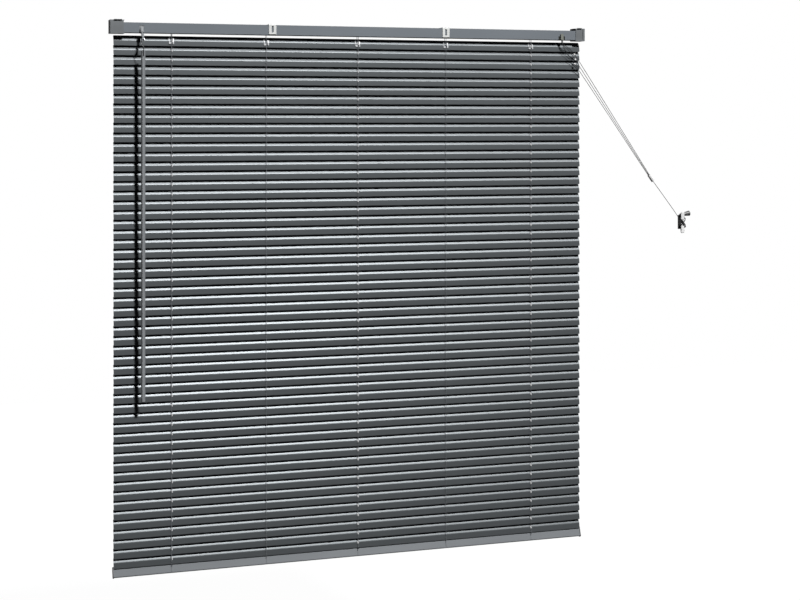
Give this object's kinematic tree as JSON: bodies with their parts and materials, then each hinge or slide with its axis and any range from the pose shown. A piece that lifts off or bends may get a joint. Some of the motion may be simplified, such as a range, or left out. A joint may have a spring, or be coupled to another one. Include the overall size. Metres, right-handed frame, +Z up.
{
  "type": "venetian blind",
  "caption": "Horizontal slatted window blind, lowered and closed, with headrail, tilt wand, lift cords and wall cleat.",
  "frame": {"origin": "on the wall plane, midway along the headrail, level with the middle of the wall screws", "axes": "+X along the headrail towards the cord lock, +Y into the wall, +Z up"},
  "size_m": [1.5125, 0.0592, 1.2983],
  "materials": {
    "headrail": "satin grey paint",
    "brackets": "satin grey paint",
    "mid_brackets": "white paint",
    "rail_caps": "moulded grey",
    "plugs": "moulded grey",
    "slats": "satin grey enamel",
    "bottom_rail": "satin grey paint",
    "steel": "plated wire and bar",
    "drums": "moulded white",
    "tilter": "moulded grey",
    "stem": "moulded grey",
    "wand": "extruded grey",
    "ladders": "braided grey string",
    "cords": "braided dark grey cord",
    "winding": "braided dark grey cord, wound",
    "clips": "moulded white",
    "cleat": "moulded pale grey",
    "lock": "moulded ivory",
    "roller": "turned",
    "tassel": "moulded grey"
  },
  "bodies": {
    "root": {"box_bracket_left": "brackets", "box_bracket_right": "brackets", "cord_beads": "clips", "cord_cleat": "cleat", "cord_connector": "clips", "cord_lock_body": "lock", "cord_winding": "winding", "drum_cradle_1": "drums", "drum_cradle_2": "drums", "drum_cradle_3": "drums", "drum_cradle_4": "drums", "drum_cradle_5": "drums", "headrail": "headrail", "headrail_cap_left": "rail_caps", "headrail_cap_right": "rail_caps", "ladder_1": "ladders", "ladder_2": "ladders", "ladder_3": "ladders", "ladder_4": "ladders", "ladder_5": "ladders", "lift_cord_1": "cords", "lift_cord_2": "cords", "lift_cord_3": "cords", "mid_bracket_left": "mid_brackets", "mid_bracket_right": "mid_brackets", "operating_cord": "cords", "pull_cord_1": "cords", "pull_cord_2": "cords", "pull_cord_3": "cords", "slat_clip_1": "clips", "slat_clip_2": "clips", "slat_clip_3": "clips", "slat_clip_4": "clips", "slat_clip_5": "clips", "slats": "slats", "tassel": "tassel", "tilter_housing": "tilter"},
    "gate_left": {"bracket_gate_left": "brackets"},
    "gate_right": {"bracket_gate_right": "brackets"},
    "stem": {"tilter_stem": "stem"},
    "tilt_shaft": {"tilt_rod": "steel", "worm_wheel": "tilter", "tilt_drum_1": "drums", "tilt_drum_2": "drums", "tilt_drum_3": "drums", "tilt_drum_4": "drums", "tilt_drum_5": "drums"},
    "hook": {"wand_hook": "steel"},
    "wand": {"wand": "wand"},
    "bottom": {"bottom_rail": "bottom_rail", "bottom_rail_cap_left": "rail_caps", "bottom_rail_cap_right": "rail_caps", "bottom_plug_1": "plugs", "bottom_plug_2": "plugs", "bottom_plug_3": "plugs", "bottom_plug_4": "plugs", "bottom_plug_5": "plugs"},
    "lock_roller": {"cord_lock_roller": "roller"}
  },
  "joints": [
    {"name": "gate_left_slide", "type": "slide", "parent": "root", "child": "gate_left", "axis": [0, 0, 1], "range_m": [0, 0.028]},
    {"name": "gate_right_slide", "type": "slide", "parent": "root", "child": "gate_right", "axis": [0, 0, 1], "range_m": [0, 0.028]},
    {"name": "wand_turn", "type": "hinge", "parent": "root", "child": "stem", "pos_m": [-0.527, -0.0295, -0.0046], "axis": [0, -0.682, -0.7314], "range_deg": [0, 1800]},
    {"name": "rod_turn", "type": "hinge", "parent": "root", "child": "tilt_shaft", "pos_m": [0, -0.017, -0.003], "axis": [-1, 0, 0], "range_deg": [0, 180]},
    {"name": "hook_swing", "type": "hinge", "parent": "stem", "child": "hook", "pos_m": [-0.527, -0.05228, -0.02903], "axis": [-1, 0, 0], "range_deg": [-1.5, 70]},
    {"name": "wand_sway", "type": "hinge", "parent": "hook", "child": "wand", "pos_m": [-0.527, -0.05228, -0.06803], "axis": [0, 1, 0], "range_deg": [-20, 20]},
    {"name": "lift", "type": "slide", "parent": "root", "child": "bottom", "axis": [0, 0, 1], "range_m": [0, 1.08], "deforming": ["slats", "ladder_1", "ladder_2", "ladder_3", "ladder_4", "ladder_5", "lift_cord_1", "lift_cord_2", "lift_cord_3"]},
    {"name": "roller_lift", "type": "slide", "parent": "root", "child": "lock_roller", "axis": [0, 0, 1], "range_m": [0, 0.003]}
  ],
  "couplings": [
    {"joint": "rod_turn", "follows": "wand_turn", "ratio": 0.1}
  ]
}
